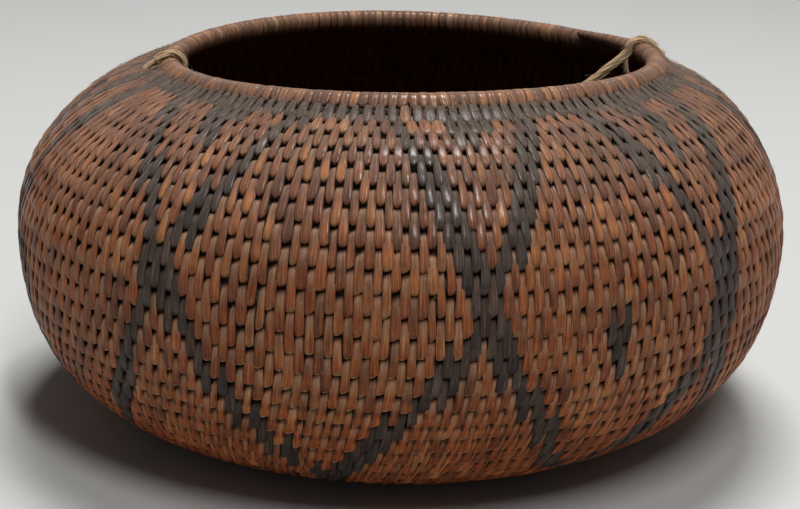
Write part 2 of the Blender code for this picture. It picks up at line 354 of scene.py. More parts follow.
# Where a tone sets in and where it is full: along a splint, towards its side, up the basket in metres, or in
# the value named
spans = {
    "rosyOwn": (0.60, 0.95), "coolOwn": (0.42, 0.10), "head": (0.52, 0.84), "foot": (0.42, 0.04),
    "oliveAlong": (0.36, 0.16), "oliveTint": (0.46, 0.68), "dustUp": (0.078, 0.110), "dustGrime": (0.38, 0.62),
    "shadeSide": (0.78, 1.0), "darkGrime": (0.58, 0.76), "recessShade": (0.25, 0.85), "lowUp": (0.050, 0.020),
    "contactShadowFoot": (0.42, 0.49), "contactShadowHead": (0.66, 0.57),
    "contactShadowSide": (0.30, 0.70), "contactShadowUp": (0.056, 0.036),
    "lipAlong": (0.17, 0.09), "lipUp": (0.074, 0.050), "darkFibre": (0.62, 0.22), "paleFibre": (0.60, 0.92),
    "fibreUp": (0.076, 0.100), "shineFoot": (0.08, 0.22), "shineHead": (0.68, 0.48), "shineGrime": (0.66, 0.48),
    "matUp": (0.106, 0.112), "glintUp": (0.072, 0.088), "glintTint": (0.40, 0.60), "glintSide": (0.85, 0.30),
    "glossUp": (0.062, 0.086),
}


# How strong each effect is. A least value is what is left of an effect where its mask is at nothing.
effects = {
    "headLeast": 0.5, "oliveBlotch": 0.5, "dustLeast": 0.62, "dustFootLeast": 0.72, "dustFine": 0.25,
    "shadeSide": 0.16, "darkGrime": 0.30, "lipStreaks": 0.5, "lipLeast": 0.4,
    "darkFibreLow": 0.30, "darkFibreHigh": 0.65, "paleFibre": 0.75, "shineLeast": 0.25, "glintDust": 0.4,
    "roughStreaks": 0.16, "roughDust": 0.2, "roughShine": 0.10, "coatLeast": 0.12,
    "specular": 0.12, "coatRough": 0.20, "bump": 0.75, "bumpHeight": 0.00026,
}


def span(flow, name):
    return remap(flow, *spans[name])


def splintFinish(name, look):
    f, e = Finish(name + "Splint"), effects
    uv = f.node("ShaderNodeUVMap", {"uv_map": "splint"}, out="UV")
    along, which, height = f.axis(uv, "Y"), f.axis(uv, "X"), f.axis(f.place(), "Z")
    side = (which.maths("FRACT") * 2 - 1).maths("ABSOLUTE")
    own = {"W": which.maths("FLOOR")}
    own = f.node("ShaderNodeTexWhiteNoise", {"noise_dimensions": "1D"}, own, out="Value")
    grime = f.noise(f.place(), 70.0, 4.0, 0.65)
    tint = f.attribute("tint")
    share, grains = tint, {}
    for name, (scale, shift, detail, roughness, ends, weight) in grain.items():
        flow = f.noise(f.stretched(uv, scale, (shift, 0, 0)), 1.0, detail, roughness)
        grains[name] = remap(flow, *ends)
        share = share + (grains[name] - 0.5) * weight
    streaks, blotch, fine = grains["streaks"], grains["blotch"], grains["fine"]

    # the splint's colour from head to foot: the paler head is partly dust and partly painted light
    colour = f.ramp(share.held(), look["colours"])
    colour = f.mixed(colour, tones["rosy"], span(own, "rosyOwn") * look["hues"], "MULTIPLY")
    colour = f.mixed(colour, tones["cool"], span(own, "coolOwn") * look["hues"], "MULTIPLY")
    head = span(along, "head")
    colour = f.mixed(colour, look["head"], head * fromLeast(blotch, e["headLeast"]) * look["headShare"])
    # painted shade: the foot darkens where it curves in under
    colour = f.mixed(colour, look["foot"], span(along, "foot"), "MULTIPLY")
    olive = span(along, "oliveAlong") * span(tint + (blotch - 0.5) * e["oliveBlotch"], "oliveTint")
    colour = f.mixed(colour, tones["olive"], (olive * look["olive"]).held())

    # dust on the shoulder, random grime, and painted shade at the splints' sides and in the slots
    dusty = span(height, "dustUp") * fromLeast(span(grime, "dustGrime"), e["dustLeast"])
    dusty = dusty * fromLeast(head, e["dustFootLeast"]) * (1 - fine * e["dustFine"])
    dusty = (dusty * look["dustShare"]).held()
    colour = f.mixed(colour, look["dust"], dusty)
    grimeAndShade = span(side, "shadeSide") * e["shadeSide"] + span(grime, "darkGrime") * e["darkGrime"]
    colour = f.mixed(colour, tones["grimeAndShade"], grimeAndShade, "MULTIPLY")
    colour = f.mixed(colour, tones["recessShade"], span(f.attribute("depth"), "recessShade"), "MULTIPLY")
    if look["lip"]:
        # low on the basket the splints are warmer, with a painted shadow under the row above's feet
        colour = f.mixed(colour, tones["warmLow"], span(height, "lowUp") * look["lip"], "MULTIPLY")
        contactShadow = span(along, "contactShadowFoot") * span(along, "contactShadowHead") * span(side, "contactShadowSide")
        colour = f.mixed(colour, tones["contactShadow"], contactShadow * span(height, "contactShadowUp"), "MULTIPLY")
        # pale foot ends: partly dust, partly painted highlight along the foot's edge
        lip = span(along, "lipAlong") * span(height, "lipUp") * look["lip"]
        colour = f.mixed(colour, tones["lipHighlightAndDust"], lip * (streaks * e["lipStreaks"] + e["lipLeast"]))

    # dark and pale fibres, and the glossy bulges, with an orange painted highlight there
    fibres = fine * 0.5 + streaks * 0.5
    darkFibres = span(fibres, "darkFibre") * (e["darkFibreLow"] + span(height, "fibreUp") * e["darkFibreHigh"])
    colour = f.mixed(colour, tones["darkFibre"], darkFibres, "MULTIPLY")
    colour = f.mixed(colour, tones["paleFibre"], span(fibres, "paleFibre") * e["paleFibre"], "MULTIPLY")
    shine = (span(along, "shineFoot") * span(along, "shineHead") * fromLeast(fine, e["shineLeast"])
             * span(grime, "shineGrime") * (1 - span(height, "matUp") * look["matTop"]))
    # painted highlight: orange glints in the colour where the coat shines
    paintedGlint = (shine * span(height, "glintUp") * span(tint, "glintTint") * span(side, "glintSide")
            * look["glintShare"] * (1 - dusty * e["glintDust"]))
    colour = f.mixed(colour, tones["glintOrange"], paintedGlint.held())
    rough = look["roughness"] + (streaks - 0.5) * e["roughStreaks"] + dusty * e["roughDust"]
    rough = (rough - shine * e["roughShine"]).held()
    coat = (shine * look["gloss"] * fromLeast(span(height, "glossUp"), e["coatLeast"])).held()
    f.set(colour=colour, rough=rough, specular=e["specular"], coat=coat, coatRough=e["coatRough"])
    f.bumps(streaks * 0.7 + fine * 0.3, e["bump"], e["bumpHeight"])
    return f.material


finishes = {name: splintFinish(name, {**plainSplint, **look}) for name, look in splintLooks.items()}


# The core's near-black is painted shade for the dark slots between the stitches, over the bundle's own dark
# brown
def coreFinish():
    f = Finish("coreBundleShade")
    streaks = f.noise(f.stretched(f.place(), (300, 300, 900)), 1.0, 2.0, 0.6)
    f.set(colour=f.ramp(streaks, [(0.3, (0.012, 0.008, 0.006)), (0.7, (0.045, 0.026, 0.017))]), rough=0.85)
    f.bumps(streaks, 0.5, 0.0003)
    return f.material


def twineFinish():
    f = Finish("plantTwine")
    uv = f.node("ShaderNodeUVMap", {"uv_map": "twine"}, out="UV")
    fibres = f.noise(f.stretched(uv, (9.0, 2.5, 1)), 1.0, 3.0, 0.7)
    patches = f.noise(f.place(), 180.0, 2.0, 0.5)
    stops = [(0.25, (0.185, 0.115, 0.058)), (0.5, (0.430, 0.290, 0.165)), (0.8, (0.660, 0.490, 0.305))]
    colour = f.ramp((fibres * 0.7 + patches * 0.45 - 0.07).held(), stops)
    f.set(colour=colour, rough=0.88, sheen=0.15, sheenRough=0.5)
    f.bumps(fibres, 0.7, 0.0003)
    return f.material


def frayFinish():
    f = Finish("frayedFibre")
    f.set(colour=(0.30, 0.22, 0.145), rough=0.8)
    return f.material


finishes.update(core=coreFinish(), fray=frayFinish(), twine=twineFinish())
print("finishes ready")


def finishPiece(name, mesh, finish, replaced=()):
    piece = bpy.data.objects.new(name, mesh)
    scene.collection.objects.link(piece)
    mesh.materials.clear()
    mesh.materials.append(finishes[finish])
    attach(piece, "root")
    if replaced:
        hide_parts(*replaced)
    return piece


def meshOf(bm, name):
    mesh = bpy.data.meshes.new(name)
    bm.to_mesh(mesh)
    bm.free()
    return mesh


def flatGrid(across, along, half=1.0):
    bm = bmesh.new()
    bmesh.ops.create_grid(bm, x_segments=across, y_segments=along, size=half)
    return bm


def bakedMesh(maker):
    # the mesh of an object with its modifiers or bevel applied; the object goes
    scene.collection.objects.link(maker)
    bpy.context.view_layer.update()
    mesh = bpy.data.meshes.new_from_object(maker.evaluated_get(bpy.context.evaluated_depsgraph_get()))
    bpy.data.batch_remove((maker, maker.data))
    return mesh


# Twine: the cord first, then the two ties it hangs from
twine = {
    "tieAzimuth": math.radians(100), "tieRadius": 0.0016, "tieClearance": 0.0007,
    "tiePoints": 22, "squareness": 4,
    "cordRadius": 0.0020, "cordClearance": 0.0004, "cordSag": 0.028, "cordPoints": 33,
}


def tiePlace(azimuth):
    # the hole a tie goes through, the way up the wall to the rim's middle, how far that is, and the ways inward
    # and along the wall
    t = topTurn(azimuth)
    hole = (onCoil(t - 1, azimuth, 0) + onCoil(t - 2, azimuth, 0)) / 2
    upWall = onCoil(t, azimuth, 0) - hole
    rise = np.linalg.norm(upWall)
    across = np.array((math.cos(azimuth), math.sin(azimuth), 0))
    return hole, upWall / rise, rise, np.cross(upWall / rise, across), across


def tiePath(azimuth):
    hole, upWall, rise, inward, _ = tiePlace(azimuth)
    room = halfWall + twine["tieClearance"] + twine["tieRadius"]
    length, power = rise + room, 2 / twine["squareness"]
    angle = fullTurn * np.arange(twine["tiePoints"])[:, None] / twine["tiePoints"]
    up, out = (np.copysign(np.abs(way) ** power, way) for way in (np.cos(angle), np.sin(angle)))
    return hole + upWall * (1 + up) * length / 2 + inward * out * room


def cordEnds():
    right, left = twine["tieAzimuth"], (twine["tieAzimuth"] + math.pi) % fullTurn
    middle = (onCoil(topTurn(right), right, 0) + onCoil(topTurn(left), left, 0)) / 2
    aim = middle - np.array((0, 0, 2 * twine["cordSag"]))
    ends = []
    for azimuth in (right, left):
        points = tiePath(azimuth)
        near = points[np.argmin(np.linalg.norm(points - aim, axis=1))]
        ends.append(near + unit(aim - near) * (twine["tieRadius"] + twine["cordClearance"]))
    return ends


def cordPath():
    start, end = cordEnds()
    t = np.linspace(0, 1, twine["cordPoints"])[:, None]
    return start * (1 - t) + end * t - np.array((0, 0, 4 * twine["cordSag"])) * t * (1 - t)


def resampled(points, count):
    run = np.concatenate(([0], np.cumsum(np.linalg.norm(np.diff(points, axis=0), axis=1))))
    at = np.linspace(0, run[-1], count)
    return np.stack([np.interp(at, run, points[:, k]) for k in range(3)], -1)


def strandMesh(name, lines, radius, closed=False, sides=2, swell=None):
    data = bpy.data.curves.new(name, "CURVE")
    data.dimensions, data.bevel_depth, data.bevel_resolution = "3D", radius, sides
    data.twist_mode, data.use_fill_caps = "MINIMUM", True
    for line in lines:
        spline = data.splines.new("POLY")
        spline.points.add(len(line) - 1)
        spline.points.foreach_set("co", np.hstack((line, np.ones((len(line), 1)))).ravel())
        if swell:
            spline.points.foreach_set("radius", swell(np.linspace(0, 1, len(line))))
        spline.use_cyclic_u, spline.use_smooth = closed, True
    return bakedMesh(bpy.data.objects.new(name, data))


def joinInto(mesh, other):
    # adds the other mesh to the first, and removes it
    bm = bmesh.new()
    bm.from_mesh(mesh)
    bm.from_mesh(other)
    bm.to_mesh(mesh)
    bm.free()
    bpy.data.meshes.remove(other)


looseWaves = (300, 700)  # radians per metre along a strand
gatherRate = 50  # how fast the strands spread from a gathered end, per metre


def twisted(path, side, strands, offset, lay, wobble, seed, closed=False, flat=1.0, gather=1.0):
    # side is a direction that is never along the path, lay the length of one twist
    count = len(path)
    tangent = unit(np.roll(path, -1, 0) - np.roll(path, 1, 0) if closed else np.gradient(path, axis=0))
    other = unit(np.cross(tangent, side))
    second = np.cross(tangent, other)
    steps = np.linalg.norm(np.diff(np.vstack((path, path[:1])) if closed else path, axis=0), axis=1)
    run = np.concatenate(([0], np.cumsum(steps)))
    twists = run[-1] / lay
    if closed:
        twists = round(twists)
    rng = np.random.default_rng(seed)
    lines = []
    for k in range(strands):
        phase = fullTurn * (run[:count] / run[-1] * twists + k / strands)
        loose = offset * (1 + wobble * np.sin(run[:count] * rng.uniform(*looseWaves) + rng.uniform(0, 6)))
        if not closed:
            toEnd = np.minimum(run[:count], run[-1] - run[:count])
            loose = loose * np.clip(gather + gatherRate * toEnd, 0, 1)
        across, off = np.cos(phase) * loose * flat, np.sin(phase) * loose
        lines.append(path + other * across[:, None] + second * off[:, None])
    return lines


# The ties lie on the lashing: millimetres up the wall and inward from their holes. A lead is the bundle that
# runs from a tie to the cord.
tieShape = {
    "loop": ((0.0, -1.8), (0.7, -3.2), (2.4, -3.7), (5.0, -3.75), (8.2, -3.75), (10.5, -2.9), (11.75, -1.0),
             (12.0, 1.0), (11.3, 3.4), (9.6, 6.0), (7.6, 8.0), (5.4, 8.8), (3.2, 8.2), (1.4, 6.6), (0.2, 4.2),
             (0.0, 1.0)),
    "lead": ((5.0, -3.8), (8.0, -3.9), (10.4, -3.1), (11.9, -1.2), (12.1, 1.0), (11.2, 3.6)),
    "loopPoints": 84, "leadPoints": 60, "cordPoints": 150, "leadLift": 0.0006,
    "strandRadius": 0.00033, "cordStrandRadius": 0.00036, "cordEnd": 0.65,
    "loopTwist": {"strands": 9, "offset": 0.00108, "lay": 0.030, "flat": 0.42, "wobble": 0.25},
    "leadTwist": {"strands": 13, "offset": 0.00128, "lay": 0.046, "flat": 0.70, "wobble": 0.3},
    "cordTwist": {"strands": 14, "offset": 0.00142, "lay": 0.046, "wobble": 0.16, "gather": 0.3, "seed": 4},
    "shift": {"Right": 0.0, "Left": math.radians(3)}, "seed": {"Right": 11, "Left": 23},
}
fuzz = {"count": 260, "length": 0.0036, "radius": 0.00007, "lean": 0.5, "curl": 0.25}


def onTie(azimuth, spots):
    hole, upWall, _, inward, across = tiePlace(azimuth)
    spots = np.array(spots) * mm
    return hole + spots[:, :1] * upWall + spots[:, 1:] * inward, across


def rounded(points, count, closed=False):
    # a smooth run through a few points
    if closed:
        near, spaces = np.vstack((points[-2:], points, points[:2])), len(points)
    else:
        near = np.vstack((2 * points[0] - points[1], points, 2 * points[-1] - points[-2]))
        spaces = len(points) - 1
    t = np.linspace(0, spaces, count, endpoint=not closed)
    i = np.minimum(t.astype(int), spaces - 1)
    f = (t - i)[:, None]
    k = i + (1 if closed else 0)
    p0, p1, p2, p3 = near[k], near[k + 1], near[k + 2], near[k + 3]
    bend, swing = 2 * p0 - 5 * p1 + 4 * p2 - p3, 3 * p1 - p0 - 3 * p2 + p3
    return 0.5 * (2 * p1 + (p2 - p0) * f + bend * f ** 2 + swing * f ** 3)


def looseFibres(lines, seed):
    # short hairs that stand off the strands
    rng = np.random.default_rng(seed)
    hairs = []
    t = np.linspace(0, 1, 5)[:, None]
    for _ in range(fuzz["count"]):
        line = lines[rng.integers(len(lines))]
        i = rng.integers(1, len(line) - 2)
        along = unit(line[i + 1] - line[i])
        away = rng.normal(0, 1, 3)
        away = unit(away - (away @ along) * along)
        reach = fuzz["length"] * rng.uniform(0.4, 1.0)
        curl = rng.normal(0, fuzz["curl"], 3) * reach
        hair = line[i] + along * reach * t * rng.choice((-1, 1))
        hairs.append(hair + away * reach * fuzz["lean"] * t ** 1.6 + curl * t ** 2)
    return hairs


def layCord(path):
    shape = tieShape
    fine = resampled(path, shape["cordPoints"])
    across = unit(np.cross(path[-1] - path[0], (0, 0, 1.0)))
    lines = twisted(fine, across, **shape["cordTwist"])
    mesh = strandMesh("handleCord", lines + [fine], shape["cordStrandRadius"],
                      swell=lambda t: np.clip(shape["cordEnd"] + 10 * np.minimum(t, 1 - t), 0, 1))
    mesh.uv_layers[0].name = "twine"
    cord = finishPiece("handleCord", mesh, "twine", ["handle_cord"])


def layTie(name, azimuth, cord):
    # a loop round the rim, and its lead that goes into the start of the cord
    shape, seed = tieShape, tieShape["seed"][name]
    azimuth = (azimuth + shape["shift"][name]) % fullTurn
    loop, across = onTie(azimuth, shape["loop"])
    loop = rounded(loop, shape["loopPoints"], closed=True)
    lines = twisted(loop, across, closed=True, seed=seed, **shape["loopTwist"])
    start, _ = onTie(azimuth, shape["lead"])
    lead = np.vstack((start, cord[1] + (0, 0, shape["leadLift"]), cord[3], cord[5]))
    leadLines = twisted(rounded(lead, shape["leadPoints"]), across, seed=seed + 1, **shape["leadTwist"])
    hairs = looseFibres(lines + leadLines, seed)
    mesh = strandMesh("tie" + name, lines, shape["strandRadius"], closed=True)
    joinInto(mesh, strandMesh("tieHairs", hairs, fuzz["radius"], sides=0, swell=lambda t: 1.2 - t))
    mesh.uv_layers[0].name = "twine"
    joinInto(mesh, strandMesh("lead" + name, leadLines, shape["strandRadius"],
                              swell=lambda t: np.clip(8 * (1 - t) + 0.2, 0, 1)))
    finishPiece("tie" + name, mesh, "twine", ["tie_" + name.lower()])


def layTwine():
    path = cordPath()
    layCord(path)
    layTie("Right", twine["tieAzimuth"], path)
    layTie("Left", twine["tieAzimuth"] + math.pi, path[::-1])
    print("twine laid")


layTwine()


stripStep = 3  # from splint to splint in a strip; a flat splint is 2 across and 2 along


# One flat splint, repeated side by side in a long strip, is what every band of stitches is wound from.
def splintStrip(count, across, rows):
    bm = flatGrid(across, rows)
    for face in bm.faces:
        face.smooth = True
    rim = [e for e in bm.edges if e.is_boundary]
    made = bmesh.ops.extrude_edge_only(bm, edges=rim)["geom"]
    bmesh.ops.translate(bm, verts=[g for g in made if isinstance(g, bmesh.types.BMVert)], vec=(0, 0, -1))
    bmesh.ops.recalc_face_normals(bm, faces=bm.faces)
    if max(bm.faces, key=lambda f: f.calc_center_median().z).normal.z < 0:
        bmesh.ops.reverse_faces(bm, faces=bm.faces)
    layer = bm.loops.layers.uv.new("splint")
    for face in bm.faces:
        for loop in face.loops:
            loop[layer].uv = ((loop.vert.co.x + 1) / 2, (loop.vert.co.y + 1) / 2)
    maker = bpy.data.objects.new("strip", meshOf(bm, "strip"))
    row = maker.modifiers.new("sideBySide", "ARRAY")
    row.count, row.use_relative_offset, row.use_constant_offset = count, False, True
    row.constant_offset_displace = (stripStep, 0, 0)
    return bakedMesh(maker)


def windStrip(mesh, count, wind, tints):
    co = np.empty(len(mesh.vertices) * 3, np.float32)
    mesh.vertices.foreach_get("co", co)
    local = co.reshape(count, -1, 3).astype(float)
    local[:, :, 0] -= stripStep * np.arange(count)[:, None]
    points, shadeDepths = wind(local[:, :, 0], (local[:, :, 1] + 1) / 2, local[:, :, 2])
    mesh.vertices.foreach_set("co", points.reshape(-1).astype(np.float32))
    each = len(mesh.vertices) // count
    # each point's tint, and its painted shade
    for name, values in (("tint", np.repeat(tints, each)), ("depth", shadeDepths.reshape(-1))):
        attribute = mesh.attributes.new(name, "FLOAT", "POINT")
        attribute.data.foreach_set("value", values.astype(np.float32))
    layer = mesh.uv_layers["splint"].uv
    uv = np.empty(len(layer) * 2, np.float32)
    layer.foreach_get("vector", uv)
    uv = uv.reshape(count, -1, 2)
    uv[:, :, 0] += np.arange(count)[:, None]
    layer.foreach_set("vector", uv.reshape(-1))
    mesh.update()


# How the stitches lie: 157.5 to a turn, so that each row falls between those of the row below
weave = {
    "perTurn": 157.5, "coarserTurns": ((3.5, 19.5), (7, 39.5), (12.5, 78.5), (17.5, 118.5)), "lastTurn": 40.0,
    # how the lower stitches slant, in stitch widths: from this turn down, by so much a turn
    "slantFrom": 28.0, "slantRise": 0.13, "slantMost": 1.15, "slantStep": 0.325,
    "closeAndWide": ((-45, 15, 0.05), (-15, 8, 0.13), (17, 9, -0.15), (40, 7, 0.05), (50, 5, -0.13),
                     (80, 12, 0.06), (150, 20, -0.06), (210, 15, 0.07), (262, 12, -0.05)),
    "slopeStep": 0.002, "seed": 20, "wideLimits": (0.72, 1.2),
}


def degreesApart(first, second):
    return (first - second + 180) % 360 - 180


def azimuthWarp():
    # stitches are closer in some places and wider in others, so equal counts aren't equal angles
    at = np.arange(0, 3601) / 10.0
    spacing = np.ones_like(at)
    for middle, width, amount in weave["closeAndWide"]:
        spacing += amount * np.exp(-(degreesApart(at, middle) / width) ** 2)
    # at = azimuth in degrees from the seam; counting runs against the spacing
    seam = math.degrees(coil["seam"])
    shifted = np.interp((at + seam) % 360, at, spacing)
    phase = np.concatenate(([0], np.cumsum((1 / shifted[1:] + 1 / shifted[:-1]) / 2)))
    return phase / phase[-1], at / 360


warpPhase, warpTurn = azimuthWarp()


def slant(turn):
    return np.clip((weave["slantFrom"] - turn) * weave["slantRise"], 0, weave["slantMost"])


def perTurnAt(turn):
    return next((fewer for limit, fewer in weave["coarserTurns"] if turn < limit), weave["perTurn"])


def stitchTurns():
    # where each stitch lies on the coil, in turns, and the angle it has to itself
    turns, phase = [], 1.0
    while phase < weave["lastTurn"]:
        turns.append(phase)
        phase += 1 / (perTurnAt(phase) - weave["slantStep"] * float(slant(phase)))
    phase = np.array(turns)
    counts = np.array([perTurnAt(turn) for turn in turns])
    whole, step = np.floor(phase), weave["slopeStep"]
    ahead, here, behind = (np.interp((phase - whole + d) % 1, warpPhase, warpTurn) for d in (step, 0, -step))
    slope = ahead - behind
    slope = np.where(slope < 0, slope + 1, slope) / (2 * step)
    return whole + here, fullTurn / counts * slope


# The black figures: crossing bands under a ring, with a point hanging between the arms. For each crossing, its
# azimuth, its top and foot turn, the azimuths where its upper and then its lower arms end, and half its gap.
crossings = (
    (-74, 31, 29, -88, -63, -87, -60, 1),
    (-31.5, 31, 29.2, -46.5, -18, -45.5, -12.5, 1),
    (12, 29.9, 28.6, 1, 22.5, -6, 26, 0.15),
    (49.8, 30, 25.4, 35.5, 59.5, 36.5, 57, 1),
    (89, 30.5, 28.5, 77, 101, 73, 105, 0.8),
    (129, 31, 29, 116, 141, 113, 145, 1),
    (169, 30, 28, 157, 181, 152, 184, 0.6),
    (209, 30.5, 28.7, 196, 221, 193, 225, 0.9),
    (248, 31, 29, 236, 260, 232, 263, 0.7),
)
figures = {
    "armTop": 39.1, "armLast": 40, "armFoot": 19.5, "armHalfWidth": 1.85, "armUneven": 0.12,
    "meeting": 18.6, "meetingRun": 6,  # where two figures' feet meet, and how far down they run from there
    "ring": 39.5, "ringMissed": 0.06,
    "pendantFoot": 36.0, "pendantHalfWidth": 4.2, "pendantTip": 0.2, "pendantMissed": 0.22,
    # lone dark stitches: azimuth and turn, and how far round these they spread
    "lone": ((30.5, 27.6), (31.6, 28.6), (31.2, 26.6), (29.4, 28.4)), "loneWidth": 1.2, "loneHeight": 0.55,
}


def isBlack(turn, azimuth, rng):
    g = figures
    middle, degrees = turn + 0.5, np.degrees(azimuth)
    black = (middle > g["ring"]) & (rng.random(len(turn)) > g["ringMissed"])
    half = g["armHalfWidth"] + rng.normal(0, g["armUneven"], len(turn))
    lowest = g["meeting"] - g["meetingRun"]
    for i, (mid, top, foot, upLeft, upRight, downLeft, downRight, apart) in enumerate(crossings):
        levels = (lowest, g["meeting"], g["armFoot"], foot, top, g["armTop"], coil["turns"] + 1)
        before, after = crossings[i - 1], crossings[(i + 1) % len(crossings)]
        arms = ((upLeft, downLeft, before[6], -1), (upRight, downRight, after[5], 1))
        for upper, lower, beside, side in arms:
            meet = lower - degreesApart(lower, beside) / 2
            line = (meet, meet, lower, mid + side * apart, mid + side * apart, upper, upper + side)
            gap = degreesApart(degrees, np.interp(middle, levels, line))
            black |= (np.abs(gap) < half) & (middle > lowest) & (middle < g["armLast"])
        gap = degreesApart(degrees, (upLeft + upRight) / 2)
        down = (middle - g["pendantFoot"]) / (g["ring"] - g["pendantFoot"])
        hanging = (np.abs(gap) < g["pendantHalfWidth"] * np.clip(down, 0, 1) + g["pendantTip"]) & (down > 0)
        black |= hanging & (rng.random(len(turn)) > g["pendantMissed"])
    for lone, level in g["lone"]:
        black |= (np.abs(degrees - lone) < g["loneWidth"]) & (np.abs(middle - level) < g["loneHeight"])
    return black


# A stitch: height over the coil's outer face in millimetres, and width as a share, at steps along it from its
# foot to its hidden head: on the belly, on the shoulder and low on the wall. Its reach is in turns.
stitch = {
    "across": 4, "rows": 9, "splint": 2.52,
    "steps": (0.0, 0.03, 0.09, 0.19, 0.32, 0.47, 0.62, 0.77, 0.89, 1.0),
    "heights": ((-0.70, -0.34, -0.05, 0.16, 0.20, 0.08, 0.05, -0.05, -0.46, -1.50),
                (-0.22, -0.04, 0.12, 0.27, 0.29, 0.16, 0.06, -0.04, -0.50, -1.60),
                (0.06, 0.22, 0.30, 0.29, 0.18, 0.04, -0.06, -0.20, -0.75, -1.50)),
    "widths": ((0.80, 1.02, 1.12, 1.13, 1.09, 1.02, 0.95, 0.89, 0.85, 0.78),
               (0.50, 0.80, 0.99, 1.05, 1.01, 0.93, 0.83, 0.73, 0.65, 0.56),
               (0.96, 1.12, 1.18, 1.18, 1.15, 1.11, 1.07, 1.02, 0.98, 0.88)),
    "crown": 0.07, "thickness": 0.50, "reach": (-0.43, 1.56),
}
innerStitch = {
    "across": 2, "rows": 5, "splint": 2.5, "steps": (0.0, 0.06, 0.25, 0.55, 0.85, 1.0),
    "heights": 3 * ((-0.5, 0.0, 0.18, 0.0, -0.25, -1.1),),
    "widths": ((0.8, 1.0, 1.03, 0.95, 0.92, 0.85), (0.7, 0.95, 1.0, 0.9, 0.85, 0.8),
               (0.8, 1.0, 1.03, 0.95, 0.92, 0.85)),
    "crown": 0.15, "thickness": 0.45, "reach": (-0.45, 1.54),
}
# middle and spread of what differs from stitch to stitch
uneven = {
    "lean": (0, 0.13), "wide": (1, 0.09), "low": (0, 0.05), "high": (0, 0.06),
    "proud": (0, 0.07), "rock": (0, 0.07), "skew": (0.05, 0.035), "bow": (0, 0.05),
}


# a splint's tint, and those of the odd ones, drawn below the one share or above the other
tinting = {"plain": (0.47, 0.10), "patches": 0.16, "pale": (0.03, (0.64, 0.80)), "dark": (0.96, (0.16, 0.28))}


def stitchTables():
    rng = np.random.default_rng(weave["seed"])
    turn, spacing = stitchTurns()
    azimuth = turnAzimuth(turn)
    count = len(turn)
    table = {"turn": turn, "azimuth": azimuth, "spacing": spacing, "black": isBlack(turn, azimuth, rng)}
    for key, (middle, spread) in uneven.items():
        table[key] = rng.normal(middle, spread, count)
    table["wide"] = np.clip(table["wide"], *weave["wideLimits"])
    # the tint changes slowly in patches, with a few odd pale and dark splints
    patches = 0.5 + 0.5 * np.sin(azimuth * 5 + np.sin(turn * 0.9) * 2.1) * np.sin(turn * 0.45 + azimuth * 3)
    tint = rng.normal(*tinting["plain"], count) + (patches - 0.5) * tinting["patches"]
    odd, (below, pale), (above, dark) = rng.random(count), tinting["pale"], tinting["dark"]
    tint = np.where(odd < below, rng.uniform(*pale, count), tint)
    tint = np.where(odd > above, rng.uniform(*dark, count), tint)
    table["tint"] = np.clip(tint, 0.02, 0.98)
    return table


stitches = stitchTables()
print("stitches", len(stitches["turn"]), "black", int(stitches["black"].sum()))


# the flat base is thinner than the wall: turns, and the half thickness there
baseFlat = ((0, 9.0, 13.5), (0.00172, 0.00172, halfWall))
regions = {"shoulder": (30, 36), "low": (26, 21), "neck": (36.5, 38.5)}  # first turn, and full turn
# How far along a stitch its foot goes, its half width as a share of its spacing at most, how far below the top
# of the last turn the heads stop, and what the shoulder, the neck and the low wall change
shaping = {
    "footEnd": 0.12, "closest": 0.43, "rimGap": 0.40,
    "shoulderCrown": 0.9, "crownEnd": 0.55, "lowCrown": 0.3, "neckFlat": 0.4, "neckWide": 0.16,
    "proudest": 0.35, "rock": 0.8, "shoulderRock": 0.5, "lowFoot": 0.06,
    "footRound": 0.03, "shoulderRound": 0.07, "headFrom": 0.8, "headSkew": 0.7,
    "slantSkew": 0.045, "lowSkew": 0.3, "shoulderSkew": 0.5, "shoulderLean": 0.10,
    # where painted shade in the slots sets in, and the painted shade on the undersides
    "shadeDepthFrom": 0.15, "undersideShade": 0.35,
}


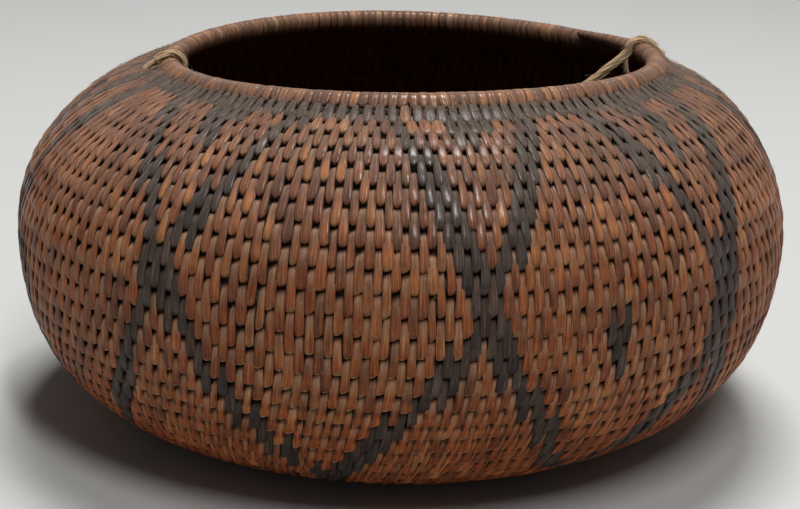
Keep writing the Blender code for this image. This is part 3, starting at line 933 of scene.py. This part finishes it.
def windStitches(chosen, sizes, inside=False):
    s, g = {key: value[chosen][:, None] for key, value in stitches.items()}, shaping
    shoulder, low, neck = (np.clip((s["turn"] - first) / (full - first), 0, 1)
                           for first, full in regions.values())
    slanted = slant(s["turn"])
    side = -1 if inside else 1
    middle = onCoil(s["turn"] + 0.5, s["azimuth"], 0)[..., :2] - (coil["baseX"], coil["baseY"])
    halfAngle = sizes["splint"] * mm / 2 * s["wide"] / np.linalg.norm(middle, axis=-1)
    halfAngle = np.minimum(halfAngle, s["spacing"] * g["closest"])

    def byPlace(index, values):
        plain, upper, lower = (np.array(row)[index] for row in values)
        return (plain * (1 - shoulder) + upper * shoulder) * (1 - low) + lower * low

    def wind(u, v, w):
        # u runs across the splint, v along it and w through it
        index = np.round(v * (len(sizes["steps"]) - 1)).astype(int)
        v = np.array(sizes["steps"])[index]
        width, height = byPlace(index, sizes["widths"]), byPlace(index, sizes["heights"])
        foot = np.clip(1 - v / g["footEnd"], 0, 1)
        crown = 1 + g["shoulderCrown"] * shoulder * (v < g["crownEnd"]) - g["lowCrown"] * low
        rock = s["rock"] * u * (g["rock"] + g["shoulderRock"] * shoulder)
        height = height + s["proud"] * (1 - np.abs(2 * v - 2 * g["proudest"])) + rock
        flat = 1 - g["neckFlat"] * neck * (height > 0)
        height = (height + low * g["lowFoot"] * foot - sizes["crown"] * crown * u * u) * flat
        first, last = sizes["reach"]
        reach = first + s["low"] + (last - first + s["high"] - s["low"]) * v
        ends = foot + g["headSkew"] * (v > g["headFrom"])
        skewed = (s["skew"] + g["slantSkew"] * slanted) * u * ends
        skewed = skewed * (1 + g["lowSkew"] * low - g["shoulderSkew"] * shoulder)
        reach = reach + (g["footRound"] + g["shoulderRound"] * shoulder) * u * u * foot + skewed
        lean = (s["lean"] + slanted - g["shoulderLean"] * shoulder) * (v - 0.5)
        lean = lean + s["bow"] * np.sin(v * math.pi)
        offset = halfAngle * width * (1 + g["neckWide"] * neck) * u * side + s["spacing"] * 0.5 * lean
        azimuth = s["azimuth"] + offset
        turn = settled(s["turn"] + reach + offset / fullTurn, azimuth)
        turn = np.minimum(turn, topTurn(azimuth) - g["rimGap"])
        out = np.interp(turn, *baseFlat) + (height + w * sizes["thickness"]) * mm
        points = onCoil(turn, azimuth, side * out)
        # painted shade: darker where the splint dives under its neighbours, and on its undersides
        depth = np.clip(-height - g["shadeDepthFrom"], 0, 1) + g["undersideShade"] * (w < -0.5)
        return points, depth

    return wind


def nodeOfTurn(turn):
    if turn == 0:
        return "start_knot"
    if turn <= coil["baseTurns"]:
        return "base_coil_%02d" % turn
    if turn < coil["turns"]:
        return "wall_coil_%02d" % (turn - coil["baseTurns"])
    return "rim_coil"


bands = {
    "Base": (0, 14), "LowerWall": (14, 21), "Belly": (21, 28), "UpperBelly": (28, 34), "Shoulder": (34, 41),
}
innerBands = {"Low": (0, 24), "High": (24, 41)}
core = {
    "perTurn": 48, "start": 0.12, "radius": 0.00250, "rimRadius": 0.00236,
    # how much thinner the rods are on the base, and where the rows lie closer
    "flat": ((9.0, 13.5), (0.72, 1.0)), "thin": 0.85,
}


def layCore(name, first, last):
    # the foundation rods of a band, seen between the stitches
    per = core["perTurn"]
    steps = np.arange(first * per, last * per + 1) / per
    if not first:
        steps = np.linspace(core["start"], last, per * last)
    azimuth = turnAzimuth(steps)
    line = onCoil(settled(steps, azimuth), azimuth, 0)
    thick = settled(steps + 0.5, azimuth) - settled(steps - 0.5, azimuth)
    thick = np.clip(thick, core["thin"], 1.0) * np.interp(steps, *core["flat"])
    mesh = strandMesh("core" + name, [line], core["radius"], sides=3, swell=lambda t: thick)
    nodes = [nodeOfTurn(turn) for turn in range(first, last)]
    finishPiece("core" + name, mesh, "core", nodes)


def laySplints(name, picked, sizes, finish, inside=False):
    chosen = np.flatnonzero(picked)
    if len(chosen):
        strip = splintStrip(len(chosen), sizes["across"], sizes["rows"])
        windStrip(strip, len(chosen), windStitches(chosen, sizes, inside), stitches["tint"][chosen])
        finishPiece(name, strip, finish)


def weaveBands():
    turn, black = stitches["turn"], stitches["black"]
    for name, (first, last) in bands.items():
        layCore(name, first, last)
        here = (turn >= first) & (turn < last)
        laySplints("naturalSplint" + name, here & ~black, stitch, "natural")
        laySplints("blackSplint" + name, here & black, stitch, "black")
    for name, (first, last) in innerBands.items():
        here = (turn >= first) & (turn < last)
        laySplints("insideSplint" + name, here, innerStitch, "inside", True)
    print("bands woven")


weaveBands()


lining = {"top": 40.8, "thickness": 0.8, "around": 144, "up": 120}


def layLining():
    # the middle of the foundation, so that no light leaks between the rods
    bm = flatGrid(lining["up"], lining["around"])
    for v in bm.verts:
        x, y = (v.co.x + 1) / 2, (v.co.y + 1) / 2
        v.co = onCoil(lining["top"] * x, fullTurn * y, 0.0)
    bmesh.ops.remove_doubles(bm, verts=bm.verts, dist=1e-6)
    maker = bpy.data.objects.new("lining", meshOf(bm, "lining"))
    skin = maker.modifiers.new("thickness", "SOLIDIFY")
    skin.thickness, skin.offset = lining["thickness"] * mm, 0
    finishPiece("coreLining", bakedMesh(maker), "core")


# Pale fibres that have worn loose from the splints: most on the shoulder, and some shorter ones lower down
frays = {
    "count": 3400, "seed": 8, "top": 40.8, "spread": 2.6, "wall": (15.0, 34.0), "wallEvery": 6,
    "wallReach": 0.45, "wallTurned": 0.6, "reach": (0.10, 0.50), "turned": 0.010, "curl": 0.008,
    "base": 0.20, "lift": (0.05, 0.60), "radius": 0.000042,
}


def layFrays():
    g = frays
    rng = np.random.default_rng(g["seed"])
    t = np.linspace(0, 1, 5)
    hairs = []
    for i in range(g["count"]):
        onWall = i % g["wallEvery"] == 0
        turn = rng.uniform(*g["wall"]) if onWall else g["top"] - abs(rng.normal(0, g["spread"]))
        azimuth = rng.uniform(0, fullTurn)
        reach, turned = rng.uniform(*g["reach"]) * rng.choice((-1, 1)), rng.normal(0, g["turned"])
        if onWall:
            reach, turned = reach * g["wallReach"], turned * g["wallTurned"]
        curl, lift = rng.normal(0, g["curl"]), rng.uniform(*g["lift"])
        hairs.append(onCoil(settled(turn + reach * t, azimuth), azimuth + turned * t + curl * t * t,
                            halfWall + (g["base"] + lift * np.sin(t * 2.4)) * mm))
    mesh = strandMesh("frays", hairs, g["radius"], sides=0, swell=lambda t: 1.2 - t * 0.7)
    finishPiece("frays", mesh, "fray")


layLining()
layFrays()


# The rim: close wraps round the last coil, each narrowed to a point on the row below
rim = {
    "count": 188, "across": 3, "rows": 12, "thickness": 0.42, "crown": 0.07,
    # along the wall and out from it, in millimetres round the rim coil's middle
    "path": ((-4.0, 2.60), (-3.3, 2.88), (-2.6, 3.0), (-1.5, 3.14), (-0.1, 3.16), (1.3, 2.76), (2.4, 1.75),
             (2.95, 0.2), (2.6, -1.45), (1.5, -2.65), (0.0, -3.12), (-1.6, -3.0), (-3.1, -2.3)),
    "widths": (0.36, 0.70, 0.96, 1.12, 1.15, 1.15, 1.12, 1.08, 1.04, 0.96, 0.92, 0.86, 0.7),
    "crossing": 6,  # the step along a wrap where it goes over the top
    "seed": 77, "tint": (0.47, 0.17), "tintLimits": (0.05, 0.98),
    # middle and spread of what differs from wrap to wrap
    "uneven": {"lean": (0.10, 0.14), "wide": (1, 0.07), "drop": (0, 0.50), "proud": (0, 0.04)},
}


def rimFullness(turn):
    # the coil thins out over its last steps
    left, end = (coil["turns"] + 1 - turn) / coil["taperTurns"], coil["taperEnd"]
    return np.where(left < 1, end + (1 - end) * left, 1.0)


def lashRim():
    rng = np.random.default_rng(rim["seed"])
    count = rim["count"]
    turn = (coil["turns"] + (np.arange(count) + 0.5) / count)[:, None]
    azimuth = turnAzimuth(turn)
    lean, wide, drop, proud = (rng.normal(*spread, count)[:, None] for spread in rim["uneven"].values())
    path, widths = np.array(rim["path"]), np.array(rim["widths"])
    full = rimFullness(turn)

    def wind(u, v, w):
        index = np.round(v * rim["rows"]).astype(int)
        along, out, width = path[index, 0], path[index, 1], widths[index]
        step = unit(path[np.minimum(index + 1, rim["rows"])] - path[np.maximum(index - 1, 0)])
        height = w * rim["thickness"] - rim["crown"] * u * u + proud
        along = along - step[..., 1] * height + drop * np.clip(-along / 3 - 0.7, 0, 1) * (out > 0)
        out = out + step[..., 0] * height
        spacing = fullTurn / count
        slanted = spacing * lean * np.where(index < rim["crossing"], (4 - index) / 4, -0.5)
        offset = spacing * 0.5 * width * wide * u - slanted
        up = along * full * mm - (1 - full) * coil["halfWidth"]
        points = onCoil(turn + offset / fullTurn, azimuth + offset, out * full * mm, up)
        # painted shade: darker where the wrap runs down under the lashing, on its undersides and inside the rim
        depth = np.clip((-along - 2.6) / 3, 0, 0.5) + 0.35 * (w < -0.5) + 0.3 * (out < -1.5)
        return points, depth

    strip = splintStrip(count, rim["across"], rim["rows"])
    windStrip(strip, count, wind, np.clip(rng.normal(*rim["tint"], count), *rim["tintLimits"]))
    finishPiece("rimLashing", strip, "rim")
    per = core["perTurn"]
    steps = np.arange(coil["turns"] * per, (coil["turns"] + 1) * per + 1) / per
    thick = rimFullness(steps)
    line = onCoil(steps, turnAzimuth(steps), 0, -(1 - thick) * coil["halfWidth"])
    mesh = strandMesh("coreRim", [line], core["rimRadius"], sides=3, swell=lambda t: thick)
    finishPiece("coreRim", mesh, "core", ["rim_coil"])
    print("rim lashed")


lashRim()


# Floor and light
studio = {
    "floorColour": (0.535, 0.537, 0.522), "floorSize": 8.0,
    "skyTint": (1, 1, 0.985, 1), "skySeen": 0.52, "skyLight": 0.08,
    "aim": (0, 0, 0.05),
    "lamps": {
        "overhead": {"place": (0.08, 0.30, 1.75), "size": (0.6, 0.6), "power": 31.0},
        "key": {"place": (0.26, -0.88, 1.45), "size": (0.15, 0.85), "power": 12.5},
    },
}


def setStudio():
    floor = bpy.data.objects.new("floor", meshOf(flatGrid(8, 8, studio["floorSize"] / 2), "floor"))
    scene.collection.objects.link(floor)
    f = Finish("paleFloor")
    f.set(colour=studio["floorColour"], rough=0.9, specular=0.1)
    floor.data.materials.append(f.material)
    scene.world = scene.world or bpy.data.worlds.new("studio")
    scene.world.use_nodes = True
    tree = scene.world.node_tree
    sky = next(n for n in tree.nodes if n.type == "BACKGROUND")
    rays = tree.nodes.new("ShaderNodeLightPath")
    seen = Flow(tree, rays.outputs["Is Camera Ray"])
    for kind in ("Is Transmission Ray", "Is Glossy Ray"):
        seen = seen.maths("MAXIMUM", Flow(tree, rays.outputs[kind]))
    seen = seen * (studio["skySeen"] - studio["skyLight"]) + studio["skyLight"]
    tree.links.new(seen.socket, sky.inputs["Strength"])
    sky.inputs["Color"].default_value = studio["skyTint"]
    for name, lamp in studio["lamps"].items():
        data = bpy.data.lights.new(name, "AREA")
        data.shape, data.energy = "RECTANGLE", lamp["power"]
        data.size, data.size_y = lamp["size"]
        holder = bpy.data.objects.new(name, data)
        scene.collection.objects.link(holder)
        holder.location = lamp["place"]
        towards = Vector(studio["aim"]) - Vector(lamp["place"])
        holder.rotation_euler = towards.to_track_quat("-Z", "Y").to_euler()


setStudio()
print("studio lit")
